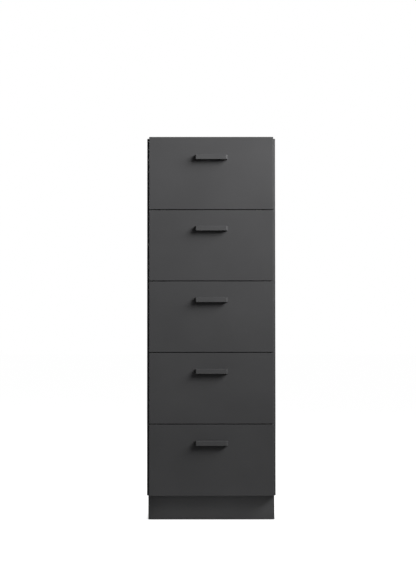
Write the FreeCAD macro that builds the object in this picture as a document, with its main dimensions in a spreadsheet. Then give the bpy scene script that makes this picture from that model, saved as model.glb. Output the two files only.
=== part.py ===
import FreeCAD, Part
import os
import re
import Sketcher
from FreeCAD import Placement, Rotation, Vector

# A tall, narrow chest of five drawers on a recessed plinth.
# Frame: +Z up, +X to the right, the drawers open towards -Y.
# The origin is on the floor, under the middle of the whole chest, handles included.

doc = FreeCAD.newDocument("tall_chest_of_drawers")

# ---------------------------------------------------------------------------
# Sizes in millimetres. Each can be changed by itself.
# ---------------------------------------------------------------------------

SIZES = {
    # carcass
    "carcass_width": (355, "outside width over the side panels"),
    "carcass_depth": (380, "front edge to back edge of the side panels"),
    "board_thickness": (16, "side, top, bottom and plinth boards"),
    "board_arris": (0.8, "radius that eases the edges of the boards"),
    "back_panel_thickness": (3, "hardboard back"),
    "back_panel_inset": (8, "back edge of the carcass to the back panel"),
    "groove_depth": (6, "grooves that hold the back panel and the drawer bottoms"),
    "groove_clearance": (0.2, "play of a panel across its groove"),
    "groove_end_clearance": (1, "panel edge to the floor of its groove"),
    # plinth
    "plinth_height": (70, "floor to the underside of the carcass"),
    "plinth_inset": (2.5, "plinth behind the outer face of each side panel"),
    "plinth_front_setback": (30, "plinth behind the front edge of the carcass"),
    "plinth_back_setback": (20, "plinth in front of the back edge, for a skirting board"),
    "glide_height": (1, "nail-on glides under the plinth"),
    "glide_diameter": (14, "nail-on glides under the plinth"),
    "glide_inset": (25, "front and back of the plinth to the middle of a glide"),
    # drawer fronts
    "front_height": (195, "one drawer front"),
    "front_thickness": (16, "one drawer front"),
    "front_arris": (1, "radius round the drawer fronts"),
    "front_gap": (2, "gap between one drawer front and the next"),
    "front_side_reveal": (6, "carcass edge that shows beside the fronts"),
    "front_standoff": (2, "back of the fronts to the front edge of the carcass"),
    "front_rise": (1, "lowest front above the underside of the carcass"),
    "top_front_extra": (6, "the top front is taller by this"),
    "top_front_rise": (3, "the top front stands above the carcass by this"),
    # pulls
    "pull_face_width": (84.5, "width of the pull at its front"),
    "pull_base_width": (92, "width of the pull against the drawer front"),
    "pull_height": (13, "height of the pull"),
    "pull_projection": (16, "pull in front of the drawer front"),
    "pull_drop": (51, "top of a standard drawer front to the middle of its pull"),
    "pull_lip": (4, "wall in front of the finger recess"),
    "pull_roof": (3, "wall over the finger recess"),
    "pull_grip_width": (50, "width of the finger recess"),
    "pull_screw_spacing": (64, "distance between the two screws of a pull"),
    "pull_thread": (8, "screw length inside the pull"),
    "pull_arris": (0.8, "radius round the front of the pull"),
    # drawer boxes
    "box_side_thickness": (12, "sides and back of a drawer box"),
    "box_rise": (21, "bottom of a front to the bottom of its box"),
    "box_drop": (29, "top of a standard front to the top of its box"),
    "box_rear_clearance": (16, "drawer box to the back panel"),
    "box_bottom_thickness": (3, "hardboard drawer bottom"),
    "box_bottom_rise": (10, "drawer bottom above the lower edge of the box"),
    # ball-bearing runners
    "runner_space": (12.7, "width that a runner takes up beside the box"),
    "runner_height": (45, "outer height of the cabinet member"),
    "runner_steel": (1.2, "steel strip that the members are rolled from"),
    "runner_rise": (35, "lower edge of the box to the middle of the runner"),
    "runner_setback": (5, "back of the drawer front to the front end of the runner"),
    "runner_ball": (3.3, "space for the balls between two members"),
    "runner_web_gap": (2.2, "web of the cabinet member to the web of the middle one"),
    "runner_cabinet_gap": (2.9, "flanges of the cabinet member to the box"),
    "runner_middle_gap": (1.8, "flanges of the middle member to the box"),
    "runner_drawer_gap": (1.9, "flanges of the drawer member to the web of the middle one"),
    "runner_screw_inset": (35, "ends of a runner to its first and last screws"),
    # fasteners
    "screw_diameter": (4, "shank of all the screws"),
    "screw_head_diameter": (8, "head of all the screws"),
    "screw_head_height": (1.6, "pan head"),
    "screw_length": (12, "screws in the carcass boards"),
    "screw_hole_clearance": (0.2, "hole wider than its screw, dowel, bolt or cam"),
    "cross_width": (1, "slots of the cross recess"),
    "long_screw_length": (40, "screws of the plinth and of the box backs"),
    "cam_diameter": (15, "cam lock of a carcass joint"),
    "cam_height": (12, "cam lock of a carcass joint"),
    "cam_reach": (24, "joint face to the middle of a cam lock"),
    "bolt_diameter": (6, "cam bolt"),
    "bolt_bite": (11, "cam bolt inside the board that it is screwed into"),
    "cam_inset": (50, "edge of the carcass to a cam lock"),
    "dowel_diameter": (8, "carcass dowel"),
    "dowel_length": (30, "carcass dowel"),
    "dowel_bite": (10, "dowel inside the board that it enters through its face"),
    "dowel_inset": (82, "edge of the carcass to a dowel"),
    "box_cam_diameter": (12, "cam lock of a drawer front"),
    "box_cam_height": (9.5, "cam lock of a drawer front"),
    "box_cam_inset": (28, "edge of the box side to its cam locks"),
    "box_back_screw_inset": (20, "upper edge of the box to the first screw of its back"),
    "box_back_screw_gap": (15, "top of the runner to the second screw of the box back"),
    # wall bracket against tipping
    "bracket_width": (48, "steel plate behind the top panel"),
    "bracket_drop": (36, "plate below the top panel"),
    "bracket_thickness": (2, "steel plate"),
    "bracket_hole_diameter": (6, "holes for the wall screws"),
    "bracket_hole_spacing": (24, "distance between the holes"),
    "bracket_hole_drop": (20, "underside of the top panel to the wall holes"),
    "driver_hole_diameter": (14, "holes in the back panel for the screwdriver"),
}

DRAWERS = 5

sheet = doc.addObject("Spreadsheet::Sheet", "Sizes")
for row, (alias, (value, note)) in enumerate(SIZES.items(), start=1):
    sheet.set(f"A{row}", alias)
    sheet.set(f"B{row}", str(value))
    sheet.set(f"C{row}", note)
    sheet.setAlias(f"B{row}", alias)
doc.recompute()

# Places and lengths that follow from the sizes.
HALF = "carcass_width/2"
INSIDE = f"({HALF} - board_thickness)"
TOTAL_DEPTH = "(carcass_depth + front_standoff + front_thickness + pull_projection)"
BACK = f"({TOTAL_DEPTH}/2)"
EDGE = f"({BACK} - carcass_depth)"
FRONT_REAR = f"({EDGE} - front_standoff)"
FRONT_FACE = f"({FRONT_REAR} - front_thickness)"
PULL_FACE = f"({FRONT_FACE} - pull_projection)"
FLOOR = "plinth_height"
FRONTS = f"({DRAWERS}*front_height + {DRAWERS - 1}*front_gap + top_front_extra)"
TOP = f"({FLOOR} + front_rise + {FRONTS} - top_front_rise)"
TOP_UNDERSIDE = f"({TOP} - board_thickness)"
BOTTOM_TOPSIDE = f"({FLOOR} + board_thickness)"
IN_GROOVE = "(groove_depth - groove_end_clearance)"
BACK_PANEL_REAR = f"({BACK} - back_panel_inset)"
BACK_PANEL_FRONT = f"({BACK_PANEL_REAR} - back_panel_thickness)"
FRONT_HALF = f"({HALF} - front_side_reveal)"
PLINTH_HALF = f"({HALF} - plinth_inset)"
PLINTH_FRONT = f"({EDGE} + plinth_front_setback)"
PLINTH_BACK = f"({BACK} - plinth_back_setback)"
BOX_HALF = f"({INSIDE} - runner_space)"
BOX_INSIDE = f"({BOX_HALF} - box_side_thickness)"
BOX_REAR = f"({BACK_PANEL_FRONT} - box_rear_clearance)"
BOX_HEIGHT = "(front_height - box_rise - box_drop)"
PULL_RISE = "(front_height - pull_drop)"
RUNNER_RISE = "(box_rise + runner_rise)"
RUNNER_FRONT = f"({FRONT_REAR} + runner_setback)"
RUNNER_LENGTH = f"({BOX_REAR} - {RUNNER_FRONT})"
RUNNER_HOLES = (
    f"({RUNNER_FRONT} + runner_screw_inset)",
    f"({RUNNER_FRONT} + {RUNNER_LENGTH}/2)",
    f"({BOX_REAR} - runner_screw_inset)",
)
SCREW_HOLE = "(screw_diameter + screw_hole_clearance)"
BOTH_SIDES = (-1, 1)


def level(drawer):
    """Bottom of a drawer's front above the floor. Drawer 1 is the top one."""
    return f"({FLOOR} + front_rise + {DRAWERS - drawer}*(front_height + front_gap))"


def runner_height(drawer):
    """Middle of a drawer's runners above the floor."""
    return f"{level(drawer)} + {RUNNER_RISE}"


# ---------------------------------------------------------------------------
# How the pieces are made
# ---------------------------------------------------------------------------

subparts = []


def sized(formula):
    """A formula with each size's name turned into a reference to its cell."""
    def cell(word):
        return f"Sizes.{word.group(0)}" if word.group(0) in SIZES else word.group(0)
    return re.sub(r"[a-z_]+", cell, str(formula))


def bind(feature, **formulas):
    """Tie properties of a feature to the sheet."""
    for name, formula in formulas.items():
        feature.setExpression(name, sized(formula))


def stand_at(feature, x=0, y=0, z=0):
    """Tie the place of a feature to the sheet."""
    for axis, formula in (("x", x), ("y", y), ("z", z)):
        feature.setExpression(f"Placement.Base.{axis}", sized(formula))


def number(formula):
    return float(sheet.evalExpression(sized(formula)))


def across(side, near, far):
    """From near to far, measured sideways from the middle: side 1 is right, -1 is left."""
    return (near, far) if side > 0 else (f"-({far})", f"-({near})")


def at_side(side, distance):
    """One place, measured sideways from the middle."""
    return distance if side > 0 else f"-({distance})"


def new(kind, name, body):
    """A feature of a body, or a loose object where there is no body."""
    if body:
        return body.newObject(f"PartDesign::{kind}", name)
    return doc.addObject(f"Part::{kind}", name)


def block(kind, name, x, y, z, body=None):
    """A block between two formulas along each axis."""
    feature = new(kind, name, body)
    lengths = [f"({end}) - ({start})" for start, end in (x, y, z)]
    bind(feature, Length=lengths[0], Width=lengths[1], Height=lengths[2])
    stand_at(feature, x[0], y[0], z[0])
    return feature


TURN_ALONG = {
    "x": Rotation(Vector(0, 1, 0), 90),
    "y": Rotation(Vector(1, 0, 0), -90),
    "z": Rotation(),
}


def rod(kind, name, axis, ends, middle, diameter, body=None):
    """A cylinder along an axis, between two formulas, with its middle on the other two axes."""
    feature = new(kind, name, body)
    feature.Placement = Placement(Vector(), TURN_ALONG[axis])
    bind(feature, Radius=f"({diameter})/2", Height=f"({ends[1]}) - ({ends[0]})")
    place = list(middle)
    place.insert("xyz".index(axis), ends[0])
    stand_at(feature, *place)
    return feature


def hole(body, name, axis, ends, middle, diameter):
    return rod("SubtractiveCylinder", name, axis, ends, middle, diameter, body)


def new_body(label):
    body = doc.addObject("PartDesign::Body", label)
    body.Label = label
    return body


def board(label, x, y, z, eased=None, radius="board_arris"):
    """A board with some of its edges eased. eased(start, end) says which."""
    body = new_body(label)
    blank = block("AdditiveBox", f"{label}_blank", x, y, z, body)
    if eased:
        doc.recompute()
        names = []
        for count, edge in enumerate(blank.Shape.Edges, start=1):
            start, end = (vertex.Point for vertex in edge.Vertexes)
            if eased(start, end):
                names.append(f"Edge{count}")
        rounding = body.newObject("PartDesign::Fillet", f"{label}_arris")
        rounding.Base = (blank, names)
        bind(rounding, Radius=radius)
    return body


def keep(feature):
    """Count a finished piece among the sub-parts of the chest."""
    subparts.append(feature)
    return feature


def profile(body, name, role, corners):
    """A closed outline of straight lines on one of the body's planes, each corner tied to the sheet."""
    sketch = body.newObject("Sketcher::SketchObject", name)
    plane = next(datum for datum in body.Origin.OriginFeatures if datum.Role == role)
    sketch.AttachmentSupport = [(plane, "")]
    sketch.MapMode = "FlatFace"
    points = [Vector(number(x), number(y), 0) for x, y in corners]
    for start, end in zip(points, points[1:] + points[:1]):
        sketch.addGeometry(Part.LineSegment(start, end))
    for line, (formulas, point) in enumerate(zip(corners, points)):
        following = (line + 1) % len(points)
        sketch.addConstraint(Sketcher.Constraint("Coincident", line, 2, following, 1))
        for direction, formula, value in zip(("DistanceX", "DistanceY"), formulas, point):
            index = sketch.addConstraint(Sketcher.Constraint(direction, line, 1, value))
            sketch.setExpression(f"Constraints[{index}]", sized(formula))
    return sketch


def copy(source, name, x=0, y=0, z=0, turn=None):
    """The same bought-in part once more, turned and put in its place."""
    placed = doc.addObject("Part::Compound", name)
    placed.Links = [source]
    if turn:
        placed.Placement = Placement(Vector(), turn)
    stand_at(placed, x, y, z)
    return placed


def group(label, pieces):
    """Separate solids of one kind that share a node."""
    together = doc.addObject("Part::Compound", label)
    together.Label = label
    together.Links = pieces
    return keep(together)


# ---------------------------------------------------------------------------
# Screws, modelled once. The head's seat is at the origin and the shank points down.
# ---------------------------------------------------------------------------

HEAD_FACES = {
    "+x": Rotation(Vector(0, 1, 0), 90),
    "-x": Rotation(Vector(0, 1, 0), -90),
    "+y": Rotation(Vector(1, 0, 0), -90),
}


def screw(name, length):
    """A pan-head screw with a cross recess."""
    shank = rod("Cylinder", f"{name}_shank", "z", (f"-({length})", 0), (0, 0), "screw_diameter")
    head = rod("Cylinder", f"{name}_head", "z", (0, "screw_head_height"), (0, 0), "screw_head_diameter")
    whole = doc.addObject("Part::MultiFuse", f"{name}_whole")
    whole.Shapes = [shank, head]
    reach = "screw_head_diameter/4"
    half = "cross_width/2"
    long_way = (f"-({reach})", reach)
    short_way = (f"-({half})", half)
    depth = ("screw_head_height/3", "2*screw_head_height")
    slots = doc.addObject("Part::MultiFuse", f"{name}_cross")
    slots.Shapes = [
        block("Box", f"{name}_slot", long_way, short_way, depth),
        block("Box", f"{name}_cross_slot", short_way, long_way, depth),
    ]
    finished = doc.addObject("Part::Cut", name)
    finished.Base = whole
    finished.Tool = slots
    return finished


short_screw = screw("short_screw", "screw_length")
long_screw = screw("long_screw", "long_screw_length")
box_screw = screw("box_screw", "box_side_thickness")
pull_screw = screw("pull_screw", "front_thickness + pull_thread")

# ---------------------------------------------------------------------------
# Carcass
# ---------------------------------------------------------------------------

CARCASS_DEPTH = (EDGE, BACK)
CAM_PLACES = (f"({EDGE} + cam_inset)", f"({BACK} - cam_inset)")
DOWEL_PLACES = (f"({EDGE} + dowel_inset)", f"({BACK} - dowel_inset)")
CAM_HOLE = "(cam_diameter + screw_hole_clearance)"
BOLT_HOLE = "(bolt_diameter + screw_hole_clearance)"
DOWEL_HOLE = "(dowel_diameter + screw_hole_clearance)"
BACK_GROOVE = (f"({BACK_PANEL_FRONT} - groove_clearance/2)", f"({BACK_PANEL_REAR} + groove_clearance/2)")
MID_SIDE = f"({INSIDE} + board_thickness/2)"
MID_BOTTOM = f"({FLOOR} + board_thickness/2)"
BOLT_REACH = "(cam_reach - cam_diameter/2 - screw_hole_clearance)"
DOWEL_REACH = "(dowel_length - dowel_bite)"
PLINTH_SCREW_PLACE = f"({INSIDE}/2)"
PLINTH_SCREW_ROWS = (f"({PLINTH_FRONT} + board_thickness/2)", f"({PLINTH_BACK} - board_thickness/2)")
BRACKET_REAR = f"({BACK} - screw_head_height)"
BRACKET_FRONT = f"({BRACKET_REAR} - bracket_thickness)"
BRACKET_RECESS = ("-(bracket_width + groove_clearance)/2", "(bracket_width + groove_clearance)/2")
BRACKET_HOLE = "(bracket_hole_spacing/2)"
BRACKET_SCREW_HEIGHT = f"({TOP_UNDERSIDE} + board_thickness/2)"
WALL_HOLE_HEIGHT = f"({TOP_UNDERSIDE} - bracket_hole_drop)"


def along_front_edge(start, end):
    """Edges that lie in the front edge of the carcass."""
    front = number(EDGE) + 0.01
    return start.y < front and end.y < front


def side_panel(side, name):
    """Side panel: groove for the back, holes for the runners and for the corner fittings."""
    body = board(name, across(side, INSIDE, HALF), CARCASS_DEPTH, (FLOOR, TOP_UNDERSIDE),
                 lambda start, end: along_front_edge(start, end) and start.x == end.x and start.z != end.z)
    block("SubtractiveBox", f"{name}_groove", across(side, INSIDE, f"{INSIDE} + groove_depth"),
          BACK_GROOVE, (FLOOR, TOP_UNDERSIDE), body)
    for drawer in range(1, DRAWERS + 1):
        for count, y in enumerate(RUNNER_HOLES):
            hole(body, f"{name}_runner_hole_{drawer}_{count}", "x",
                 across(side, INSIDE, f"{INSIDE} + screw_length"),
                 (y, runner_height(drawer)), SCREW_HOLE)
    for count, y in enumerate(CAM_PLACES):
        hole(body, f"{name}_cam_pocket_{count}", "x", across(side, INSIDE, f"{INSIDE} + cam_height"),
             (y, f"{TOP_UNDERSIDE} - cam_reach"), CAM_HOLE)
        hole(body, f"{name}_upper_bolt_hole_{count}", "z", (f"{TOP_UNDERSIDE} - cam_reach", TOP_UNDERSIDE),
             (at_side(side, MID_SIDE), y), BOLT_HOLE)
        hole(body, f"{name}_lower_bolt_hole_{count}", "x", across(side, INSIDE, f"{INSIDE} + bolt_bite"),
             (y, MID_BOTTOM), BOLT_HOLE)
    for count, y in enumerate(DOWEL_PLACES):
        hole(body, f"{name}_upper_dowel_hole_{count}", "z",
             (f"{TOP_UNDERSIDE} - {DOWEL_REACH}", TOP_UNDERSIDE),
             (at_side(side, MID_SIDE), y), DOWEL_HOLE)
        hole(body, f"{name}_lower_dowel_hole_{count}", "x", across(side, INSIDE, f"{INSIDE} + dowel_bite"),
             (y, MID_BOTTOM), DOWEL_HOLE)
    return keep(body)


side_panel(-1, "side_panel_left")
side_panel(1, "side_panel_right")


def top_panel():
    """Top: lies on the side panels and carries the wall bracket in its back edge."""
    name = "top_panel"
    body = board(name, (f"-({HALF})", HALF), CARCASS_DEPTH, (TOP_UNDERSIDE, TOP),
                 lambda start, end: along_front_edge(start, end) or start.z == end.z == number(TOP)
                 or (start.z != end.z))
    block("SubtractiveBox", f"{name}_groove", (f"-({INSIDE} + groove_depth)", f"{INSIDE} + groove_depth"),
          BACK_GROOVE, (TOP_UNDERSIDE, f"{TOP_UNDERSIDE} + groove_depth"), body)
    for side in BOTH_SIDES:
        for count, y in enumerate(CAM_PLACES):
            hole(body, f"{name}_bolt_hole_{side + 1}_{count}", "z",
                 (TOP_UNDERSIDE, f"{TOP_UNDERSIDE} + bolt_bite"), (at_side(side, MID_SIDE), y), BOLT_HOLE)
        for count, y in enumerate(DOWEL_PLACES):
            hole(body, f"{name}_dowel_hole_{side + 1}_{count}", "z",
                 (TOP_UNDERSIDE, f"{TOP_UNDERSIDE} + dowel_bite"), (at_side(side, MID_SIDE), y), DOWEL_HOLE)
        hole(body, f"{name}_bracket_hole_{side + 1}", "y", (f"{BRACKET_REAR} - screw_length", BACK),
             (at_side(side, BRACKET_HOLE), BRACKET_SCREW_HEIGHT), SCREW_HOLE)
    block("SubtractiveBox", f"{name}_bracket_recess", BRACKET_RECESS,
          (BRACKET_FRONT, BACK), (TOP_UNDERSIDE, TOP), body)
    return keep(body)


top_panel()


def bottom_panel():
    """Bottom: between the side panels, with the plinth screwed on from above."""
    name = "bottom_panel"
    body = board(name, (f"-({INSIDE})", INSIDE), CARCASS_DEPTH, (FLOOR, BOTTOM_TOPSIDE),
                 lambda start, end: along_front_edge(start, end) and start.z == end.z)
    block("SubtractiveBox", f"{name}_groove", (f"-({INSIDE})", INSIDE),
          BACK_GROOVE, (f"{BOTTOM_TOPSIDE} - groove_depth", BOTTOM_TOPSIDE), body)
    for side in BOTH_SIDES:
        for count, y in enumerate(CAM_PLACES):
            hole(body, f"{name}_bolt_hole_{side + 1}_{count}", "x",
                 across(side, f"{INSIDE} - cam_reach", INSIDE), (y, MID_BOTTOM), BOLT_HOLE)
            hole(body, f"{name}_cam_pocket_{side + 1}_{count}", "z", (FLOOR, f"{FLOOR} + cam_height"),
                 (at_side(side, f"{INSIDE} - cam_reach"), y), CAM_HOLE)
        for count, y in enumerate(DOWEL_PLACES):
            hole(body, f"{name}_dowel_hole_{side + 1}_{count}", "x",
                 across(side, f"{INSIDE} - {DOWEL_REACH}", INSIDE), (y, MID_BOTTOM), DOWEL_HOLE)
        for count, y in enumerate(PLINTH_SCREW_ROWS):
            hole(body, f"{name}_plinth_hole_{side + 1}_{count}", "z", (FLOOR, BOTTOM_TOPSIDE),
                 (at_side(side, PLINTH_SCREW_PLACE), y), SCREW_HOLE)
    return keep(body)


bottom_panel()



def back_panel():
    """Hardboard back: slid into its grooves, with two holes for the driver of the wall screws."""
    name = "back_panel"
    reach = f"({INSIDE} + {IN_GROOVE})"
    body = board(name, (f"-{reach}", reach), (BACK_PANEL_FRONT, BACK_PANEL_REAR),
                 (f"{BOTTOM_TOPSIDE} - {IN_GROOVE}", f"{TOP_UNDERSIDE} + {IN_GROOVE}"))
    for side in BOTH_SIDES:
        hole(body, f"{name}_driver_hole_{side + 1}", "y", (BACK_PANEL_FRONT, BACK_PANEL_REAR),
             (at_side(side, BRACKET_HOLE), WALL_HOLE_HEIGHT), "driver_hole_diameter")
    return keep(body)


back_panel()

# ---------------------------------------------------------------------------
# Plinth: four boards under the carcass, the long ones in front and behind
# ---------------------------------------------------------------------------

PLINTH = ("glide_height", FLOOR)


def plinth_rail(name, y, screw_row):
    """Front or back board, as wide as the whole plinth."""
    front_face = y[0]
    body = board(name, (f"-({PLINTH_HALF})", PLINTH_HALF), y, PLINTH,
                 lambda start, end: start.z != end.z and start.y == end.y == number(front_face))
    for side in BOTH_SIDES:
        hole(body, f"{name}_screw_hole_{side + 1}", "z", (f"{BOTTOM_TOPSIDE} - long_screw_length", FLOOR),
             (at_side(side, PLINTH_SCREW_PLACE), screw_row), SCREW_HOLE)
    return keep(body)


plinth_rail("plinth_front", (PLINTH_FRONT, f"{PLINTH_FRONT} + board_thickness"), PLINTH_SCREW_ROWS[0])
plinth_rail("plinth_back", (f"{PLINTH_BACK} - board_thickness", PLINTH_BACK), PLINTH_SCREW_ROWS[1])
for side, name in zip(BOTH_SIDES, ("plinth_left", "plinth_right")):
    keep(board(name, across(side, f"{PLINTH_HALF} - board_thickness", PLINTH_HALF),
               (f"{PLINTH_FRONT} + board_thickness", f"{PLINTH_BACK} - board_thickness"), PLINTH))

glides = []
for side in BOTH_SIDES:
    for count, y in enumerate((f"{PLINTH_FRONT} + glide_inset", f"{PLINTH_BACK} - glide_inset")):
        glides.append(rod("Cylinder", f"glide_{side + 1}_{count}", "z", (0, "glide_height"),
                          (at_side(side, f"{PLINTH_HALF} - board_thickness/2"), y), "glide_diameter"))
group("floor_glides", glides)

# ---------------------------------------------------------------------------
# Corner fittings and the wall bracket
# ---------------------------------------------------------------------------

fittings = []
dowels = []
for side in BOTH_SIDES:
    for count, y in enumerate(CAM_PLACES):
        tag = f"{side + 1}_{count}"
        fittings.append(rod("Cylinder", f"upper_cam_{tag}", "x",
                            across(side, INSIDE, f"{INSIDE} + cam_height"),
                            (y, f"{TOP_UNDERSIDE} - cam_reach"), "cam_diameter"))
        fittings.append(rod("Cylinder", f"upper_bolt_{tag}", "z",
                            (f"{TOP_UNDERSIDE} - {BOLT_REACH}", f"{TOP_UNDERSIDE} + bolt_bite"),
                            (at_side(side, MID_SIDE), y), "bolt_diameter"))
        fittings.append(rod("Cylinder", f"lower_cam_{tag}", "z", (FLOOR, f"{FLOOR} + cam_height"),
                            (at_side(side, f"{INSIDE} - cam_reach"), y), "cam_diameter"))
        fittings.append(rod("Cylinder", f"lower_bolt_{tag}", "x",
                            across(side, f"{INSIDE} - {BOLT_REACH}", f"{INSIDE} + bolt_bite"),
                            (y, MID_BOTTOM), "bolt_diameter"))
    for count, y in enumerate(DOWEL_PLACES):
        tag = f"{side + 1}_{count}"
        dowels.append(rod("Cylinder", f"upper_dowel_{tag}", "z",
                          (f"{TOP_UNDERSIDE} - {DOWEL_REACH}", f"{TOP_UNDERSIDE} + dowel_bite"),
                          (at_side(side, MID_SIDE), y), "dowel_diameter"))
        dowels.append(rod("Cylinder", f"lower_dowel_{tag}", "x",
                          across(side, f"{INSIDE} - {DOWEL_REACH}", f"{INSIDE} + dowel_bite"),
                          (y, MID_BOTTOM), "dowel_diameter"))
group("corner_fittings", fittings)
group("corner_dowels", dowels)


def wall_bracket():
    """Steel plate in the back edge of the top panel, with two holes for wall screws below it."""
    name = "wall_bracket"
    body = new_body(name)
    block("AdditiveBox", f"{name}_plate", ("-bracket_width/2", "bracket_width/2"),
          (BRACKET_FRONT, BRACKET_REAR), (f"{TOP_UNDERSIDE} - bracket_drop", TOP), body)
    for side in BOTH_SIDES:
        ends = (BRACKET_FRONT, BRACKET_REAR)
        hole(body, f"{name}_screw_hole_{side + 1}", "y", ends,
             (at_side(side, BRACKET_HOLE), BRACKET_SCREW_HEIGHT), SCREW_HOLE)
        hole(body, f"{name}_wall_hole_{side + 1}", "y", ends,
             (at_side(side, BRACKET_HOLE), WALL_HOLE_HEIGHT), "bracket_hole_diameter")
    return keep(body)


wall_bracket()

# ---------------------------------------------------------------------------
# Runners: three nested steel channels on each side of a drawer.
# They are modelled at the height of their own middle and moved to each drawer.
# ---------------------------------------------------------------------------

WEB = "runner_steel"
OUTER_HALF_HEIGHT = "(runner_height/2)"
MIDDLE_HALF_HEIGHT = f"({OUTER_HALF_HEIGHT} - {WEB} - runner_ball)"
INNER_HALF_HEIGHT = f"({MIDDLE_HALF_HEIGHT} - {WEB} - runner_ball)"
MIDDLE_WEB = f"({INSIDE} - {WEB} - runner_web_gap)"
CABINET_TIP = f"({BOX_HALF} + runner_cabinet_gap)"
MIDDLE_TIP = f"({BOX_HALF} + runner_middle_gap)"
DRAWER_TIP = f"({MIDDLE_WEB} - {WEB} - runner_drawer_gap)"


def channel(name, side, web, tip, half_height, holes_through):
    """A channel rolled from strip: its web stands at one width, its flanges reach to another."""
    body = new_body(name)
    inward = f"({web} - {WEB})" if holes_through != "box" else f"({web} + {WEB})"
    corners = [
        (web, f"-{half_height}"), (tip, f"-{half_height}"),
        (tip, f"-{half_height} + {WEB}"), (inward, f"-{half_height} + {WEB}"),
        (inward, f"{half_height} - {WEB}"), (tip, f"{half_height} - {WEB}"),
        (tip, half_height), (web, half_height),
    ]
    outline = [(at_side(side, x), z) for x, z in corners]
    pad = body.newObject("PartDesign::Pad", f"{name}_strip")
    pad.Profile = profile(body, f"{name}_section", "XZ_Plane", outline)
    pad.Reversed = True
    bind(pad, Length=RUNNER_LENGTH)
    stand_at(body, 0, RUNNER_FRONT, 0)
    if holes_through:
        span = sorted((web, inward), key=number)
        for count, y in enumerate(RUNNER_HOLES):
            hole(body, f"{name}_hole_{count}", "x", across(side, *span),
                 (f"{y} - {RUNNER_FRONT}", 0), SCREW_HOLE)
    return body


def pair(name, web, tip, half_height, holes_through):
    """The left and the right member of a runner."""
    both = doc.addObject("Part::Compound", name)
    both.Links = [
        channel(f"{name}_{word}", side, web, tip, half_height, holes_through)
        for side, word in zip(BOTH_SIDES, ("left", "right"))
    ]
    return both


cabinet_member = pair("cabinet_member", INSIDE, CABINET_TIP, OUTER_HALF_HEIGHT, "side panel")
middle_member = pair("middle_member", MIDDLE_WEB, MIDDLE_TIP, MIDDLE_HALF_HEIGHT, None)
drawer_member = pair("drawer_member", BOX_HALF, DRAWER_TIP, INNER_HALF_HEIGHT, "box")


group("cabinet_runners", [
    copy(cabinet_member, f"cabinet_member_{drawer}", z=runner_height(drawer))
    for drawer in range(1, DRAWERS + 1)
])

# ---------------------------------------------------------------------------
# Screws of the carcass
# ---------------------------------------------------------------------------

carcass_screws = []
for side, facing in zip(BOTH_SIDES, ("+x", "-x")):
    for drawer in range(1, DRAWERS + 1):
        for count, y in enumerate(RUNNER_HOLES):
            carcass_screws.append(copy(short_screw, f"cabinet_runner_screw_{side + 1}_{drawer}_{count}",
                                       at_side(side, f"{INSIDE} - {WEB}"), y, runner_height(drawer),
                                       HEAD_FACES[facing]))
    for count, y in enumerate(PLINTH_SCREW_ROWS):
        carcass_screws.append(copy(long_screw, f"plinth_screw_{side + 1}_{count}",
                                   at_side(side, PLINTH_SCREW_PLACE), y, BOTTOM_TOPSIDE))
    carcass_screws.append(copy(short_screw, f"bracket_screw_{side + 1}", at_side(side, BRACKET_HOLE),
                               BRACKET_REAR, BRACKET_SCREW_HEIGHT, HEAD_FACES["+y"]))
group("carcass_screws", carcass_screws)

# ---------------------------------------------------------------------------
# The pull: a cast bar with tapered ends and a finger recess under it.
# It is modelled standing on the level of its underside.
# ---------------------------------------------------------------------------


def make_pull():
    body = new_body("pull")
    outline = [
        ("-pull_base_width/2", FRONT_FACE), ("pull_base_width/2", FRONT_FACE),
        ("pull_face_width/2", PULL_FACE), ("-pull_face_width/2", PULL_FACE),
    ]
    bar = body.newObject("PartDesign::Pad", "pull_bar")
    bar.Profile = profile(body, "pull_plan", "XY_Plane", outline)
    bind(bar, Length="pull_height")
    doc.recompute()
    against_front = number(FRONT_FACE) - 0.01
    names = []
    for count, edge in enumerate(bar.Shape.Edges, start=1):
        if min(vertex.Point.y for vertex in edge.Vertexes) < against_front:
            names.append(f"Edge{count}")
    rounding = body.newObject("PartDesign::Fillet", "pull_rounding")
    rounding.Base = (bar, names)
    bind(rounding, Radius="pull_arris")
    block("SubtractiveBox", "pull_finger_recess", ("-pull_grip_width/2", "pull_grip_width/2"),
          (f"{PULL_FACE} + pull_lip", FRONT_FACE), (0, "pull_height - pull_roof"), body)
    for side in BOTH_SIDES:
        hole(body, f"pull_thread_{side + 1}", "y",
             (f"{FRONT_FACE} - pull_thread - screw_hole_clearance", FRONT_FACE),
             (at_side(side, "pull_screw_spacing/2"), "pull_height/2"), SCREW_HOLE)
    return body


pull = make_pull()

# ---------------------------------------------------------------------------
# Drawers. Each is modelled standing on the lower edge of its front.
# ---------------------------------------------------------------------------

BOX = ("box_rise", f"box_rise + {BOX_HEIGHT}")
BOX_Y = (FRONT_REAR, BOX_REAR)
GROOVE = (
    "box_rise + box_bottom_rise - groove_clearance/2",
    "box_rise + box_bottom_rise + box_bottom_thickness + groove_clearance/2",
)
BOX_BOTTOM = ("box_rise + box_bottom_rise", "box_rise + box_bottom_rise + box_bottom_thickness")
BOX_CAM_HEIGHTS = ("(box_rise + box_cam_inset)", f"(box_rise + {BOX_HEIGHT} - box_cam_inset)")
BOX_CAM_PLACE = f"({FRONT_REAR} + cam_reach)"
BOX_CAM_HOLE = "(box_cam_diameter + screw_hole_clearance)"
BOX_MID_SIDE = f"({BOX_INSIDE} + box_side_thickness/2)"
BOX_CAM = (BOX_INSIDE, f"{BOX_INSIDE} + box_cam_height")
BOX_BOLT = (f"{FRONT_REAR} - bolt_bite", f"{BOX_CAM_PLACE} - box_cam_diameter/2 - screw_hole_clearance")
BOX_BACK = (f"{BOX_REAR} - box_side_thickness", BOX_REAR)
BACK_SCREW_PLACE = f"({BOX_REAR} - box_side_thickness/2)"
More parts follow.
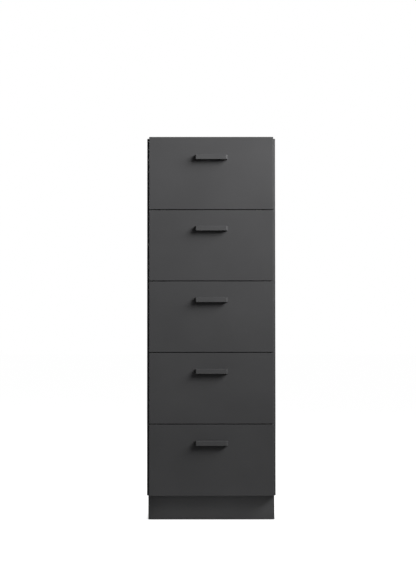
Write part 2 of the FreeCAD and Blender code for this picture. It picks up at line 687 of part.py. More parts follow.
BACK_SCREW_HEIGHTS = (
    f"(box_rise + {BOX_HEIGHT} - box_back_screw_inset)",
    f"({RUNNER_RISE} + {OUTER_HALF_HEIGHT} + box_back_screw_gap)",
)


def drawer_front(name, height):
    """Lacquered front with a groove for the drawer bottom and holes for pull and box."""
    body = board(name, (f"-({FRONT_HALF})", FRONT_HALF), (FRONT_FACE, FRONT_REAR), (0, height),
                 lambda start, end: min(start.y, end.y) < number(FRONT_FACE) + 0.01, "front_arris")
    reach = f"({BOX_INSIDE} + groove_depth)"
    block("SubtractiveBox", f"{name}_groove", (f"-{reach}", reach),
          (f"{FRONT_REAR} - groove_depth", FRONT_REAR), GROOVE, body)
    for side in BOTH_SIDES:
        hole(body, f"{name}_pull_hole_{side + 1}", "y", (FRONT_FACE, FRONT_REAR),
             (at_side(side, "pull_screw_spacing/2"), PULL_RISE), SCREW_HOLE)
        for count, z in enumerate(BOX_CAM_HEIGHTS):
            hole(body, f"{name}_bolt_hole_{side + 1}_{count}", "y", (BOX_BOLT[0], FRONT_REAR),
                 (at_side(side, BOX_MID_SIDE), z), BOLT_HOLE)
    return body


def box_side(name, side):
    """Side of the drawer box: groove for the bottom, cams to the front, holes for runner and back."""
    body = board(name, across(side, BOX_INSIDE, BOX_HALF), BOX_Y, BOX,
                 lambda start, end: start.y != end.y and start.z == end.z == number(BOX[1]))
    block("SubtractiveBox", f"{name}_groove", across(side, BOX_INSIDE, f"{BOX_INSIDE} + groove_depth"),
          BOX_Y, GROOVE, body)
    for count, z in enumerate(BOX_CAM_HEIGHTS):
        hole(body, f"{name}_cam_pocket_{count}", "x", across(side, *BOX_CAM),
             (BOX_CAM_PLACE, z), BOX_CAM_HOLE)
        hole(body, f"{name}_bolt_hole_{count}", "y", (FRONT_REAR, BOX_CAM_PLACE),
             (at_side(side, BOX_MID_SIDE), z), BOLT_HOLE)
    for count, y in enumerate(RUNNER_HOLES):
        hole(body, f"{name}_runner_hole_{count}", "x", across(side, BOX_INSIDE, BOX_HALF),
             (y, RUNNER_RISE), SCREW_HOLE)
    for count, z in enumerate(BACK_SCREW_HEIGHTS):
        hole(body, f"{name}_back_hole_{count}", "x", across(side, BOX_INSIDE, BOX_HALF),
             (BACK_SCREW_PLACE, z), SCREW_HOLE)
    return body


def box_back(name):
    """Back of the drawer box: stands on the drawer bottom, between the sides."""
    body = board(name, (f"-({BOX_INSIDE})", BOX_INSIDE), BOX_BACK, (BOX_BOTTOM[1], BOX[1]),
                 lambda start, end: start.x != end.x and start.z == end.z == number(BOX[1]))
    for side in BOTH_SIDES:
        for count, z in enumerate(BACK_SCREW_HEIGHTS):
            hole(body, f"{name}_hole_{side + 1}_{count}", "x",
                 across(side, f"{BOX_HALF} - long_screw_length", BOX_INSIDE),
                 (BACK_SCREW_PLACE, z), SCREW_HOLE)
    return body


def box_bottom(name):
    """Hardboard bottom, slid into the grooves from behind."""
    reach = f"({BOX_INSIDE} + {IN_GROOVE})"
    return board(name, (f"-{reach}", reach), (f"{FRONT_REAR} - {IN_GROOVE}", BOX_REAR), BOX_BOTTOM)


def drawer_fasteners(name):
    """All the hardware of one drawer, in the drawer's own place."""
    pieces = []
    for side, outward in zip(BOTH_SIDES, ("-x", "+x")):
        tag = f"{name}_{side + 1}"
        pieces.append(copy(pull_screw, f"{tag}_pull_screw", at_side(side, "pull_screw_spacing/2"),
                           FRONT_REAR, PULL_RISE, HEAD_FACES["+y"]))
        for count, z in enumerate(BOX_CAM_HEIGHTS):
            pieces.append(rod("Cylinder", f"{tag}_cam_{count}", "x", across(side, *BOX_CAM),
                              (BOX_CAM_PLACE, z), "box_cam_diameter"))
            pieces.append(rod("Cylinder", f"{tag}_bolt_{count}", "y", BOX_BOLT,
                              (at_side(side, BOX_MID_SIDE), z), "bolt_diameter"))
        for count, y in enumerate(RUNNER_HOLES):
            pieces.append(copy(box_screw, f"{tag}_runner_screw_{count}", at_side(side, f"{BOX_HALF} + {WEB}"),
                               y, RUNNER_RISE, HEAD_FACES[outward]))
        for count, z in enumerate(BACK_SCREW_HEIGHTS):
            pieces.append(copy(long_screw, f"{tag}_back_screw_{count}", at_side(side, BOX_HALF),
                               BACK_SCREW_PLACE, z, HEAD_FACES[outward]))
    together = doc.addObject("Part::Compound", name)
    together.Links = pieces
    return together


fastener_set = drawer_fasteners("fastener_set")

for drawer in range(1, DRAWERS + 1):
    name = f"drawer_{drawer}"
    height = "(front_height + top_front_extra)" if drawer == 1 else "front_height"
    made = [
        drawer_front(f"{name}_front", height),
        box_side(f"{name}_side_left", -1),
        box_side(f"{name}_side_right", 1),
        box_back(f"{name}_back"),
        box_bottom(f"{name}_bottom"),
        copy(pull, f"{name}_handle"),
        copy(drawer_member, f"{name}_runners"),
        copy(fastener_set, f"{name}_fasteners"),
        copy(middle_member, f"{name}_middle_runners"),
    ]
    rise = {
        f"{name}_handle": f"{PULL_RISE} - pull_height/2",
        f"{name}_runners": RUNNER_RISE,
        f"{name}_middle_runners": RUNNER_RISE,
    }
    for piece in made:
        stand_at(piece, z=f"{level(drawer)} + {rise.get(piece.Name, 0)}")
        keep(piece)

# ---------------------------------------------------------------------------
# Check every object, then write one file for each sub-part
# ---------------------------------------------------------------------------

doc.recompute()
for feature in doc.Objects:
    if "Invalid" in feature.State or "Error" in feature.State:
        raise RuntimeError(f"{feature.Label} failed: {feature.State}")
for piece in subparts:
    if piece.Shape.isNull() or not piece.Shape.isValid():
        raise RuntimeError(f"{piece.Label} has no valid shape")

os.makedirs("parts", exist_ok=True)
for piece in subparts:
    piece.Shape.exportStep(f"parts/{piece.Label}.step")
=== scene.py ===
"""A tall, narrow chest of five drawers in matt anthracite lacquer, on a recessed plinth."""

import math

import bpy
import numpy as np
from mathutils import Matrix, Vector


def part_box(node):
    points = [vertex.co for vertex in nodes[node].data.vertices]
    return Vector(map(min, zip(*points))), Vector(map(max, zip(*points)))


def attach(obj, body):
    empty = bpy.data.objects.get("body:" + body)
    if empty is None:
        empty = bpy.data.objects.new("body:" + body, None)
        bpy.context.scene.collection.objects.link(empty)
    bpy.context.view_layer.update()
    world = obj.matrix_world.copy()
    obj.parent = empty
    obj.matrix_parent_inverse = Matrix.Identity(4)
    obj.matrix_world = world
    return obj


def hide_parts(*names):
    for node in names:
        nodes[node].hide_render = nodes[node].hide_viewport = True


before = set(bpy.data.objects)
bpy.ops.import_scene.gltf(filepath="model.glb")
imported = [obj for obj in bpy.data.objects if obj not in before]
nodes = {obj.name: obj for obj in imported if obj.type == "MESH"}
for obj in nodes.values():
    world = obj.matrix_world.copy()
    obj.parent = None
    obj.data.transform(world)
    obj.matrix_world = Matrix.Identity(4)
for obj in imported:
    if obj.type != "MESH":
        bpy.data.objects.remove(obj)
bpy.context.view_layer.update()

# ---------------------------------------------------------------------------
# Carcass. Two sides, a top and a bottom of 16 mm MDF, sprayed with matt
# polyurethane lacquer on every face that shows. The corners are joined with
# cam locks and dowels, so no screw heads show on the sides or the top.
# ---------------------------------------------------------------------------

NOISE_BAND = (0.3, 0.7)
MIX_DARK, MIX_LIGHT, MIX_RESULT = 6, 7, 2


def linear(hex_colour):
    """An sRGB hex colour as linear RGBA: each channel is undone by the sRGB curve."""
    channels = [int(hex_colour[i:i + 2], 16) / 255 for i in (1, 3, 5)]
    return [c / 12.92 if c <= 0.04045 else ((c + 0.055) / 1.055) ** 2.4 for c in channels] + [1.0]


def add(tree, kind, links=None, **settings):
    """Adds a node. Settings are its properties or socket values, links feed its sockets."""
    node = tree.nodes.new(kind)
    for name, value in settings.items():
        if name.startswith("_"):
            setattr(node, name[1:], value)
        else:
            node.inputs[name.replace("_", " ")].default_value = value
    for name, source in (links or {}).items():
        tree.links.new(source, node.inputs[name])
    return node


def new_material(name, **shader):
    """An empty material with its output, a Principled shader and object coordinates."""
    made = bpy.data.materials.new(name)
    made.use_nodes = True
    tree = made.node_tree
    tree.nodes.clear()
    surface = add(tree, "ShaderNodeBsdfPrincipled", **shader)
    add(tree, "ShaderNodeOutputMaterial", {"Surface": surface.outputs["BSDF"]})
    place = add(tree, "ShaderNodeTexCoord").outputs["Object"]
    return made, tree, surface, place


def per_metre(millimetres):
    """Noise scale that gives features of this size: one over the size in metres."""
    return 1000.0 / millimetres


def grain(tree, place, size_mm, stretch=(1, 1, 1), detail=2.0, roughness=0.5):
    """Noise with features of size_mm, drawn out along the axes with a stretch over 1."""
    mapped = add(tree, "ShaderNodeMapping", {"Vector": place}, Scale=[1 / s for s in stretch])
    return add(tree, "ShaderNodeTexNoise", {"Vector": mapped.outputs["Vector"]},
               Scale=per_metre(size_mm), Detail=detail, Roughness=roughness).outputs["Fac"]


def coat(tree, surface, dark, light, tone, gloss, roughness, bumps_mm=(), tone_band=NOISE_BAND):
    """Wires a finish to its shader. The tone noise mixes the two hex colours over its band, the
    gloss noise maps its band to the roughness, and each bump is a height value and its depth."""
    amount = add(tree, "ShaderNodeMapRange", {"Value": tone}, From_Min=tone_band[0],
                 From_Max=tone_band[1])
    mix = add(tree, "ShaderNodeMix", {"Factor": amount.outputs["Result"]}, _data_type="RGBA")
    mix.inputs[MIX_DARK].default_value = linear(dark)
    mix.inputs[MIX_LIGHT].default_value = linear(light)
    tree.links.new(mix.outputs[MIX_RESULT], surface.inputs["Base Color"])
    dullness = add(tree, "ShaderNodeMapRange", {"Value": gloss}, From_Min=NOISE_BAND[0],
                   From_Max=NOISE_BAND[1], To_Min=roughness[0], To_Max=roughness[1])
    tree.links.new(dullness.outputs["Result"], surface.inputs["Roughness"])
    normal = None
    for height, depth_mm in bumps_mm:
        bump = add(tree, "ShaderNodeBump", {"Height": height}, Strength=1.0, Distance=depth_mm / 1000)
        if normal:
            tree.links.new(normal, bump.inputs["Normal"])
        normal = bump.outputs["Normal"]
    if normal:
        tree.links.new(normal, surface.inputs["Normal"])


def lacquer(name, dark, light, roughness=(0.5, 0.6)):
    """Matt polyurethane lacquer on MDF, sprayed: an even coat with very slight clouds of
    tone, a soft orange peel about 2 mm across, and the tooth of the matting powder."""
    made, tree, surface, place = new_material(name, IOR=1.5, Specular_IOR_Level=0.35)
    clouds = grain(tree, place, size_mm=180, detail=3)
    peel = grain(tree, place, size_mm=2.2, detail=1)
    tooth = grain(tree, place, size_mm=0.35)
    coat(tree, surface, dark, light, clouds, tooth, roughness, bumps_mm=[(peel, 0.035), (tooth, 0.012)])
    return made


def dress(material, *names):
    """Gives CAD nodes a material."""
    for name in names:
        mesh = nodes[name].data
        mesh.materials.clear()
        mesh.materials.append(material)


LACQUER_DARK, LACQUER_LIGHT = "#3c3c3d", "#414142"
carcass_lacquer = lacquer("Matt_anthracite_lacquer_carcass", LACQUER_DARK, LACQUER_LIGHT)
dress(carcass_lacquer, "side_panel_left", "side_panel_right", "top_panel", "bottom_panel")

# ---------------------------------------------------------------------------
# Plinth. Four lacquered boards under the carcass, set back at the front for
# toes and behind for a skirting board, on four black polyethylene glides.
# ---------------------------------------------------------------------------

plinth_lacquer = lacquer("Matt_anthracite_lacquer_plinth", LACQUER_DARK, LACQUER_LIGHT)
dress(plinth_lacquer, "plinth_front", "plinth_back", "plinth_left", "plinth_right")


def moulded_plastic(name, dark, light):
    """Moulded polyethylene: a waxy skin with a fine spark-eroded grain."""
    made, tree, surface, place = new_material(name, IOR=1.51)
    skin = grain(tree, place, size_mm=0.4)
    coat(tree, surface, dark, light, skin, skin, roughness=(0.4, 0.55), bumps_mm=[(skin, 0.01)])
    return made


dress(moulded_plastic("Black_polyethylene", "#0e0e0e", "#161616"), "floor_glides")

# ---------------------------------------------------------------------------
# Back panel. 3 mm hardboard in grooves, printed dark grey. The fibres of the
# board show through the print as a fine felt.
# ---------------------------------------------------------------------------


def hardboard(name, dark, light):
    """Hardboard with a printed face: short fibres in every direction under a thin, dull coat."""
    made, tree, surface, place = new_material(name, IOR=1.5, Specular_IOR_Level=0.3)
    fibres = grain(tree, place, size_mm=1.2, stretch=(4, 1, 1), detail=4, roughness=0.7)
    crossing = grain(tree, place, size_mm=1.2, stretch=(1, 1, 4), detail=4, roughness=0.7)
    felt = add(tree, "ShaderNodeMath", {0: fibres, 1: crossing}, _operation="MULTIPLY").outputs["Value"]
    coat(tree, surface, dark, light, felt, fibres, roughness=(0.6, 0.75), bumps_mm=[(felt, 0.03)],
         tone_band=(0.12, 0.42))
    return made


dress(hardboard("Dark_printed_hardboard", "#2c2c2d", "#39393a"), "back_panel")

# ---------------------------------------------------------------------------
# Corner fittings, dowels and screws of the carcass. Cast zinc cams, steel
# bolts, zinc-plated screws and turned beech dowels, all inside the joints.
# ---------------------------------------------------------------------------


def plated_steel(name, dark, light, rolled=(1, 1, 1), roughness=(0.28, 0.42)):
    """Zinc-plated steel: bright grey with cloudy plating and fine lines along the rolling."""
    made, tree, surface, place = new_material(name, Metallic=1.0)
    plating = grain(tree, place, size_mm=9, detail=3)
    lines = grain(tree, place, size_mm=0.3, stretch=rolled)
    coat(tree, surface, dark, light, plating, lines, roughness, bumps_mm=[(lines, 0.003)])
    return made


def cast_zinc(name, dark, light):
    """Die-cast zinc: dull, slightly mottled, with a fine sandy skin."""
    made, tree, surface, place = new_material(name, Metallic=1.0)
    sand = grain(tree, place, size_mm=0.5, detail=3)
    coat(tree, surface, dark, light, sand, sand, roughness=(0.4, 0.6), bumps_mm=[(sand, 0.01)])
    return made


def beech(name, dark, light):
    """Turned beech: pale pink-brown with short dark flecks along the dowel."""
    made, tree, surface, place = new_material(name, IOR=1.5, Specular_IOR_Level=0.3)
    flecks = grain(tree, place, size_mm=0.6, stretch=(8, 1, 8), detail=3)
    coat(tree, surface, dark, light, flecks, flecks, roughness=(0.7, 0.55), bumps_mm=[(flecks, 0.02)])
    return made


screw_steel = plated_steel("Zinc_plated_screw_steel", "#a9a9a6", "#bdbdbb", roughness=(0.3, 0.4))
dress(screw_steel, "carcass_screws")
dress(cast_zinc("Die_cast_zinc", "#8f8f8e", "#a3a3a2"), "corner_fittings")
dress(beech("Turned_beech", "#a98458", "#c9a77c"), "corner_dowels")

# ---------------------------------------------------------------------------
# Wall bracket. A 2 mm steel plate, powder-coated black, screwed into the back
# edge of the top. Two wall screws through it keep the chest from tipping.
# ---------------------------------------------------------------------------


def powder_coat(name, dark, light, roughness=(0.5, 0.62)):
    """Baked polyester powder: a tough matt skin with a tight grain about 0.7 mm across."""
    made, tree, surface, place = new_material(name, IOR=1.5, Specular_IOR_Level=0.4)
    pebble = grain(tree, place, size_mm=0.7)
    clouds = grain(tree, place, size_mm=40)
    coat(tree, surface, dark, light, clouds, pebble, roughness, bumps_mm=[(pebble, 0.02)])
    return made


dress(powder_coat("Black_powder_coat", "#121212", "#171717"), "wall_bracket")

# ---------------------------------------------------------------------------
# Runners. Three nested members on each side of a drawer, rolled from 1.2 mm
# steel strip and zinc-plated. Balls run in grooves rolled into the flanges.
# ---------------------------------------------------------------------------

DRAWERS = range(1, 6)
STRIP = 0.0012
BEND = 0.0022
GROOVE_WIDTH = 0.0034
GROOVE_DEPTH = 0.00035
WEB_BEAD = 0.0006
FLANGE_POINTS, BEND_POINTS, WEB_POINTS = 33, 9, 25
runner_steel = plated_steel("Zinc_plated_runner_steel", "#b8babb", "#c8cacb", rolled=(1, 60, 1))


def swell(distance, width):
    """A smooth hump over a distance array: (1 + cos) / 2 inside half the width, 0 outside."""
    inside = np.abs(distance) < width / 2
    return np.where(inside, 0.5 + 0.5 * np.cos(2 * np.pi * distance / width), 0.0)


def channel_line(web, tip, half_height, grooves, bead):
    """Middle line of a rolled channel as x, z rows: lower flange from its tip, a quarter circle
    into the web, up the web, a quarter circle out again and along the upper flange. A groove
    moves the flange by its depth times a hump at its place, and the bead moves the web."""
    inward = np.sign(tip - web)
    centre = web + inward * STRIP / 2
    reach = half_height - STRIP / 2
    flange_x = np.linspace(tip, centre + inward * BEND, FLANGE_POINTS)
    flange_z = np.full(FLANGE_POINTS, reach)
    for place, depth in grooves:
        flange_z = flange_z + depth * swell(flange_x - place, GROOVE_WIDTH)
    turn = np.linspace(0, np.pi / 2, BEND_POINTS)[1:]
    corner_x = centre + inward * BEND * (1 - np.sin(turn))
    corner_z = reach - BEND * (1 - np.cos(turn))
    upper = np.stack([np.r_[flange_x, corner_x], np.r_[flange_z, corner_z]], 1)
    web_z = np.linspace(-corner_z[-1], corner_z[-1], WEB_POINTS)[1:-1]
    web_x = centre + inward * bead * swell(web_z, reach)
    lower = upper * (1, -1)
    return np.concatenate([lower, np.stack([web_x, web_z], 1), upper[::-1]])


def rolled_member(line, front, rear):
    """Carries a strip from front to rear. The line is moved along its normals by plus and minus
    half the strip's thickness, which gives the two faces, and its ends and edges are closed."""
    slope = np.gradient(line, axis=0)
    normal = np.stack([-slope[:, 1], slope[:, 0]], 1) / np.linalg.norm(slope, axis=1, keepdims=True)
    loop = np.concatenate([line + normal * STRIP / 2, (line - normal * STRIP / 2)[::-1]])
    count = len(loop)
    verts = np.concatenate([np.insert(loop, 1, y, axis=1) for y in (front, rear)])
    here = np.arange(count)
    after = np.roll(here, -1)
    sides = np.stack([here, after, after + count, here + count], 1)
    cut = np.arange(count // 2 - 1)
    cap = np.stack([cut, count - 1 - cut, count - 2 - cut, cut + 1], 1)
    return verts, np.concatenate([sides, cap, cap[:, ::-1] + count])


def both_sides(verts, faces):
    """A shape and its mirror image in x. The image's faces are turned so that they point out."""
    return (np.concatenate([verts, verts * (-1, 1, 1)]),
            np.concatenate([faces, faces[:, ::-1] + len(verts)]))


def joined(shapes):
    """Several vertex and face arrays as one, each face moved on by the vertices before it."""
    starts = np.cumsum([0] + [len(verts) for verts, faces in shapes[:-1]])
    return (np.concatenate([verts for verts, faces in shapes]),
            np.concatenate([faces + start for (verts, faces), start in zip(shapes, starts)]))


def piece(name, shape, material, body, smooth_deg=40):
    """An object from vertex and face arrays, on its body, smooth where faces meet below an angle."""
    verts, faces = shape
    mesh = bpy.data.meshes.new(name)
    mesh.from_pydata(verts, [], faces)
    mesh.materials.append(material)
    made = bpy.data.objects.new(name, mesh)
    bpy.context.scene.collection.objects.link(made)
    mesh.shade_smooth()
    mesh.set_sharp_from_angle(angle=math.radians(smooth_deg))
    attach(made, body)
    return made


def member(line, node):
    """A pair of members at the front, rear and height of a CAD node."""
    low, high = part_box(node)
    verts, faces = rolled_member(line, low.y, high.y)
    return both_sides(verts + (0, 0, (low.z + high.z) / 2), faces)


def half_width(node):
    """Greatest x of a CAD node."""
    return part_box(node)[1].x


BOX_SIDE = half_width("drawer_1_side_right")
OUTER_BALL_X = BOX_SIDE + 0.0057
INNER_BALL_X = BOX_SIDE + 0.0039
CABINET_TIP = BOX_SIDE + 0.0029
MIDDLE_TIP = BOX_SIDE + 0.0018
DRAWER_TIP = BOX_SIDE + 0.0062
CABINET_HALF_HEIGHT = 0.0225
MIDDLE_HALF_HEIGHT = 0.018
DRAWER_HALF_HEIGHT = 0.0135
cabinet_line = channel_line(half_width("cabinet_runners"), CABINET_TIP, CABINET_HALF_HEIGHT,
                            grooves=[(OUTER_BALL_X, GROOVE_DEPTH)], bead=0)
middle_line = channel_line(half_width("drawer_1_middle_runners"), MIDDLE_TIP, MIDDLE_HALF_HEIGHT,
                           grooves=[(OUTER_BALL_X, -GROOVE_DEPTH), (INNER_BALL_X, GROOVE_DEPTH)],
                           bead=WEB_BEAD)
drawer_line = channel_line(BOX_SIDE, DRAWER_TIP, DRAWER_HALF_HEIGHT,
                           grooves=[(INNER_BALL_X, -GROOVE_DEPTH)], bead=0)

cabinet_pairs = []
runner_low, runner_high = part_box("cabinet_runners")
for drawer in DRAWERS:
    low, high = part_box(f"drawer_{drawer}_middle_runners")
    verts, faces = rolled_member(cabinet_line, runner_low.y, runner_high.y)
    cabinet_pairs.append(both_sides(verts + (0, 0, (low.z + high.z) / 2), faces))
    slide = piece(f"drawer_{drawer}_runner_slides", member(drawer_line, f"drawer_{drawer}_runners"),
                  runner_steel, f"drawer_{drawer}")
    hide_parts(f"drawer_{drawer}_runners")
    middle = piece(f"drawer_{drawer}_middle_slides",
                   member(middle_line, f"drawer_{drawer}_middle_runners"),
                   runner_steel, f"drawer_{drawer}_middle_runners")
    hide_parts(f"drawer_{drawer}_middle_runners")
rails = piece("cabinet_rails", joined(cabinet_pairs), runner_steel, "carcass")
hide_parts("cabinet_runners")

# ---------------------------------------------------------------------------
# Balls and cages. Hard chrome-steel balls between the members, spaced by
# pressed steel strips. They run with the middle member.
# ---------------------------------------------------------------------------

BALL_RADIUS = 0.0016
BALL_SPACING = 0.012
BALL_COUNT = 10
BALL_ROUND, BALL_RINGS, BALL_LATITUDE = 8, 6, 75
CAGE_THICKNESS = 0.0006
CAGE_SWELL = 0.12
CAGE_STEPS = 8
OUTER_CAGE_WIDTH, INNER_CAGE_WIDTH = 0.0042, 0.003
OUTER_FIRST_BALL_Y, INNER_FIRST_BALL_Y = 0.026, -0.152
OUTER_ROW_RISE, INNER_ROW_RISE = 0.01965, 0.01515
BALL_ROWS = [(OUTER_BALL_X, OUTER_CAGE_WIDTH, OUTER_FIRST_BALL_Y, OUTER_ROW_RISE),
             (INNER_BALL_X, INNER_CAGE_WIDTH, INNER_FIRST_BALL_Y, INNER_ROW_RISE)]
ball_steel = plated_steel("Polished_ball_steel", "#b4b5b7", "#c4c5c7", roughness=(0.12, 0.2))


def lid(count, start=0):
    """Closes a flat ring of an even count with four-sided faces in a row across it."""
    near = np.arange(count // 2 - 1)
    return np.stack([near, near + 1, count - 2 - near, count - 1 - near], 1) + start


def ball_row(x, y_first, z):
    """A row of balls along y. Each is a grid on a sphere, rings of BALL_ROUND points from
    BALL_LATITUDE degrees south to the same north, with a small lid at each end."""
    ring = np.arange(BALL_ROUND)
    latitude = np.linspace(-BALL_LATITUDE, BALL_LATITUDE, BALL_RINGS)
    turn, rise = np.meshgrid(ring * 2 * np.pi / BALL_ROUND, latitude * np.pi / 180)
    skin = np.stack([np.cos(rise) * np.cos(turn), np.cos(rise) * np.sin(turn), np.sin(rise)], -1)
    after = np.roll(ring, -1)
    belt = np.stack([ring, after, after + BALL_ROUND, ring + BALL_ROUND], 1)
    starts = [BALL_ROUND * number for number in range(BALL_RINGS)]
    faces = np.concatenate([belt + start for start in starts[:-1]]
                           + [lid(BALL_ROUND)[:, ::-1], lid(BALL_ROUND, starts[-1])])
    places = [(x, y_first + number * BALL_SPACING, z) for number in range(BALL_COUNT)]
    return joined([(skin.reshape(-1, 3) * BALL_RADIUS + place, faces) for place in places])


def cage_strip(x, width, y_first, z):
    """A flat strip along y whose edges swell beside each ball: half the width times
    (1 + CAGE_SWELL cos) with one wave per ball. Its four edge lines make four walls and two ends."""
    y = np.linspace(y_first - BALL_SPACING / 2, y_first + (BALL_COUNT - 0.5) * BALL_SPACING,
                    CAGE_STEPS * BALL_COUNT + 1)
    half = width / 2 * (1 + CAGE_SWELL * np.cos(2 * np.pi * (y - y_first) / BALL_SPACING))
    edges = [(-1, -1), (1, -1), (1, 1), (-1, 1)]
    verts = np.concatenate([np.stack([x + side * half, y, np.full_like(y, z + up * CAGE_THICKNESS / 2)], 1)
                            for side, up in edges])
    count = len(y)
    step = np.arange(count - 1)
    walls = [np.stack([step + a, step + 1 + a, step + 1 + b, step + b], 1)
             for a, b in ((0, count), (count, 2 * count), (2 * count, 3 * count), (3 * count, 0))]
    front = [[0, count, 2 * count, 3 * count]]
    rear = [[4 * count - 1, 3 * count - 1, 2 * count - 1, count - 1]]
    return verts, np.concatenate(walls + [front, rear])


for drawer in DRAWERS:
    body = f"drawer_{drawer}_middle_runners"
    low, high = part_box(body)
    level = (low.z + high.z) / 2
    balls, strips = [], []
    for x, width, y_first, rise in BALL_ROWS:
        for z in (level - rise, level + rise):
            balls.append(ball_row(x, y_first, z))
            strips.append(cage_strip(x, width, y_first, z))
    piece(f"drawer_{drawer}_runner_balls", both_sides(*joined(balls)), ball_steel, body,
          smooth_deg=60)
    piece(f"drawer_{drawer}_ball_cages", both_sides(*joined(strips)), runner_steel, body)

# ---------------------------------------------------------------------------
# Drawer boxes. 12 mm particle board wrapped in light grey foil with a faint
# wood pore, and a hardboard bottom in grooves. Cams and screws are zinc-plated.
# ---------------------------------------------------------------------------


def foil(name, dark, light, along):
    """Paper foil on board: long faint pores along the board under a satin print."""
    made, tree, surface, place = new_material(name, IOR=1.5, Specular_IOR_Level=0.4)
    pores = grain(tree, place, size_mm=0.5, stretch=along, detail=3, roughness=0.6)
    bands = grain(tree, place, size_mm=9, stretch=along)
    both = add(tree, "ShaderNodeMath", {0: pores, 1: bands}, _operation="MULTIPLY").outputs["Value"]
    coat(tree, surface, dark, light, both, pores, roughness=(0.5, 0.38), bumps_mm=[(pores, 0.015)],
         tone_band=(0.14, 0.36))
    return made


side_foil = foil("Light_grey_foil_lengthways", "#a6a6a4", "#adadab", (1, 25, 1))
back_foil = foil("Light_grey_foil_crossways", "#a6a6a4", "#adadab", (25, 1, 1))
bottom_board = hardboard("Light_printed_hardboard", "#9f9f9d", "#b2b2b0")
for drawer in DRAWERS:
    dress(side_foil, f"drawer_{drawer}_side_left", f"drawer_{drawer}_side_right")
    dress(back_foil, f"drawer_{drawer}_back")
    dress(bottom_board, f"drawer_{drawer}_bottom")
    dress(screw_steel, f"drawer_{drawer}_fasteners")

# ---------------------------------------------------------------------------
# Drawer fronts. 16 mm MDF with a 1 mm radius all round, in the same matt
# anthracite lacquer as the carcass. Cam locks hold them to the drawer boxes.
# ---------------------------------------------------------------------------

front_lacquer = lacquer("Matt_anthracite_lacquer_fronts", LACQUER_DARK, LACQUER_LIGHT)
for drawer in DRAWERS:
    dress(front_lacquer, f"drawer_{drawer}_front")

# ---------------------------------------------------------------------------
# Bumpers. Clear silicone dots stuck to the back of each front near its four
# corners, so that it closes softly against the edges of the carcass.
# ---------------------------------------------------------------------------

BUMPER_RADIUS = 0.004
BUMPER_HEIGHT = 0.0018
BUMPER_SIDE = 0.005
BUMPER_INSET = 0.015
BUMPER_ROUND, BUMPER_RINGS = 20, 7
CROWN_END, CROWN_STEP_POWER = 0.97, 1.4


def silicone(name, dark, light):
    """Clear silicone rubber: soft, slightly milky, with light passing through it."""
    made, tree, surface, place = new_material(name, IOR=1.41, Transmission_Weight=0.85)
    milk = grain(tree, place, size_mm=1.5)
    coat(tree, surface, dark, light, milk, milk, roughness=(0.18, 0.32))
    return made


def dome(x, y, z):
    """A dot with its flat side at y and its crown BUMPER_HEIGHT behind: rings of radius R cos t
    at a depth of H sin t. The steps of t grow towards the crown, so that the rim is full."""
    ring = np.arange(BUMPER_ROUND)
    turn, rise = np.meshgrid(ring * 2 * np.pi / BUMPER_ROUND,
                             np.linspace(0, CROWN_END, BUMPER_RINGS) ** CROWN_STEP_POWER * np.pi / 2)
    verts = np.stack([x + BUMPER_RADIUS * np.cos(rise) * np.cos(turn), y + BUMPER_HEIGHT * np.sin(rise),
                      z + BUMPER_RADIUS * np.cos(rise) * np.sin(turn)], -1).reshape(-1, 3)
    after = np.roll(ring, -1)
    belt = np.stack([ring, ring + BUMPER_ROUND, after + BUMPER_ROUND, after], 1)
    starts = [BUMPER_ROUND * number for number in range(BUMPER_RINGS)]
    return verts, np.concatenate([belt + start for start in starts[:-1]]
                                 + [lid(BUMPER_ROUND), lid(BUMPER_ROUND, starts[-1])[:, ::-1]])


clear_silicone = silicone("Clear_silicone", "#dfe4e4", "#f4f6f6")
for drawer in DRAWERS:
    low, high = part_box(f"drawer_{drawer}_front")
    dots = [dome(x, high.y, z)
            for x in (low.x + BUMPER_SIDE, high.x - BUMPER_SIDE)
            for z in (low.z + BUMPER_INSET, high.z - BUMPER_INSET)]
    piece(f"drawer_{drawer}_bumpers", joined(dots), clear_silicone, f"drawer_{drawer}",
          smooth_deg=50)

# ---------------------------------------------------------------------------
# Pulls. Cast zinc bars with tapered ends, powder-coated in the colour of the
# fronts. Two screws from inside the drawer hold each.
# ---------------------------------------------------------------------------

pull_coat = powder_coat("Anthracite_powder_coat", "#424243", "#464647", roughness=(0.36, 0.46))
for drawer in DRAWERS:
    dress(pull_coat, f"drawer_{drawer}_handle")

# ---------------------------------------------------------------------------
# Studio. A pale floor, one big soft light up on the right, a weak fill, a card
# on the floor for the plinth and two soft lights behind. The camera is four
# metres away, at half the height of the chest.
# ---------------------------------------------------------------------------

FRONT_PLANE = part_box("drawer_3_front")[0].y
FLOOR_REACH = 30.0
FLOOR_GREY = (0.2, 0.2, 0.2, 1)
FLOOR_GLOW = 0.98
# The reach and the occlusion level of the floor's painted contact shadow: above this level the glow is
# full.
CONTACT_REACH = 0.012
UNSHADED_AO = 0.9
WHITE = (1, 1, 1, 1)


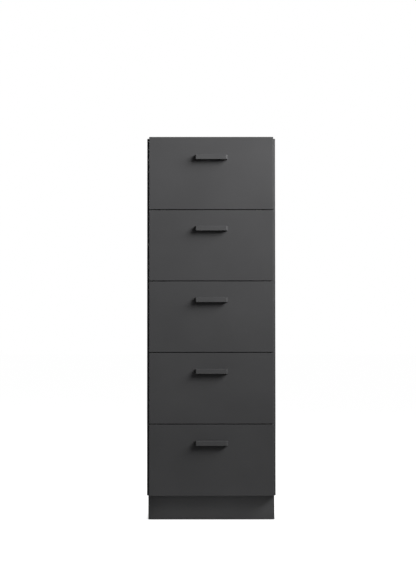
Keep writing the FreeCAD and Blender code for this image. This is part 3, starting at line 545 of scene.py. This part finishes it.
def studio_floor():
    """A wide floor, far larger than the view. The camera sees it glowing white, with a painted contact
    shadow where the chest stands within the contact reach. Everything else sees a dull grey."""
    corners = [(-FLOOR_REACH, -FLOOR_REACH, 0), (FLOOR_REACH, -FLOOR_REACH, 0),
               (FLOOR_REACH, FLOOR_REACH, 0), (-FLOOR_REACH, FLOOR_REACH, 0)]
    mesh = bpy.data.meshes.new("studio_floor")
    mesh.from_pydata(corners, [], [(0, 1, 2, 3)])
    floor = bpy.data.objects.new("studio_floor", mesh)
    bpy.context.scene.collection.objects.link(floor)
    made = bpy.data.materials.new("Pale_studio_floor")
    made.use_nodes = True
    tree = made.node_tree
    tree.nodes.clear()
    seen = add(tree, "ShaderNodeLightPath").outputs["Is Camera Ray"]
    # Painted contact shadow: ambient occlusion dims the floor's glow where the chest stands close.
    painted_shade_ao = add(tree, "ShaderNodeAmbientOcclusion", Distance=CONTACT_REACH).outputs["AO"]
    strength = add(tree, "ShaderNodeMapRange", {"Value": painted_shade_ao}, From_Max=UNSHADED_AO, To_Max=FLOOR_GLOW)
    glow = add(tree, "ShaderNodeEmission", {"Strength": strength.outputs["Result"]}, Color=WHITE)
    dull = add(tree, "ShaderNodeBsdfDiffuse", Color=FLOOR_GREY)
    bright = add(tree, "ShaderNodeAddShader", {0: glow.outputs[0], 1: dull.outputs[0]})
    mixed = add(tree, "ShaderNodeMixShader", {0: seen, 1: dull.outputs[0], 2: bright.outputs[0]})
    add(tree, "ShaderNodeOutputMaterial", {"Surface": mixed.outputs[0]})
    mesh.materials.append(made)


def soft_light(name, place, aim, width, height, power, spread_deg=180):
    """A soft box of this width and height at place, facing aim. A grid on it limits its spread."""
    lamp = bpy.data.lights.new(name, "AREA")
    lamp.shape = "RECTANGLE"
    lamp.size = width
    lamp.size_y = height
    lamp.energy = power
    lamp.spread = math.radians(spread_deg)
    holder = bpy.data.objects.new(name, lamp)
    holder.location = place
    holder.rotation_euler = (Vector(aim) - Vector(place)).to_track_quat("-Z", "Y").to_euler()
    bpy.context.scene.collection.objects.link(holder)


def surroundings(seen_strength, felt_strength):
    """White behind the object for the camera, and a dim grey room for everything else."""
    world = bpy.data.worlds.new("studio")
    bpy.context.scene.world = world
    world.use_nodes = True
    tree = world.node_tree
    tree.nodes.clear()
    seen = add(tree, "ShaderNodeLightPath").outputs["Is Camera Ray"]
    strength = add(tree, "ShaderNodeMapRange", {"Value": seen},
                   To_Min=felt_strength, To_Max=seen_strength)
    back = add(tree, "ShaderNodeBackground", {"Strength": strength.outputs["Result"]}, Color=WHITE)
    add(tree, "ShaderNodeOutputWorld", {"Surface": back.outputs[0]})


studio_floor()
surroundings(seen_strength=1.0, felt_strength=0.07)
soft_light("key", place=(1.65, FRONT_PLANE - 1.15, 2.2), aim=(-0.1, FRONT_PLANE, 2.05),
           width=1.9, height=1.8, power=95, spread_deg=122)
soft_light("fill", place=(0.4, FRONT_PLANE - 2.2, 0.9), aim=(0, FRONT_PLANE, 0.6),
           width=0.8, height=0.8, power=2.5)
soft_light("floor_card", place=(0, FRONT_PLANE - 0.01, 0.004), aim=(0, FRONT_PLANE + 0.04, 0.1),
           width=0.36, height=0.05, power=0.09)
for side in (-1, 1):
    soft_light("rear", place=(side * 1.9, 2.3, 1.7), aim=(0, 0, 0.5),
               width=1.6, height=1.6, power=75)

CAMERA_DISTANCE = 4.0
CAMERA_SIDE = -0.0076
CAMERA_HEIGHT = 0.5204
CAMERA_PITCH = math.radians(1.62)
CAMERA_YAW = math.radians(0.02)
CAMERA_ROLL = math.radians(0.03)
CAMERA_LENS_MM = 89.77
CAMERA_SENSOR_MM = 36
camera = bpy.data.cameras.new("camera")
camera.lens = CAMERA_LENS_MM
camera.sensor_width = CAMERA_SENSOR_MM
camera_holder = bpy.data.objects.new("camera", camera)
camera_holder.location = (CAMERA_SIDE, FRONT_PLANE - CAMERA_DISTANCE, CAMERA_HEIGHT)
camera_holder.rotation_euler = (math.pi / 2 + CAMERA_PITCH, CAMERA_ROLL, CAMERA_YAW)
bpy.context.scene.collection.objects.link(camera_holder)
bpy.context.scene.camera = camera_holder
bpy.context.scene.view_settings.view_transform = "Standard"
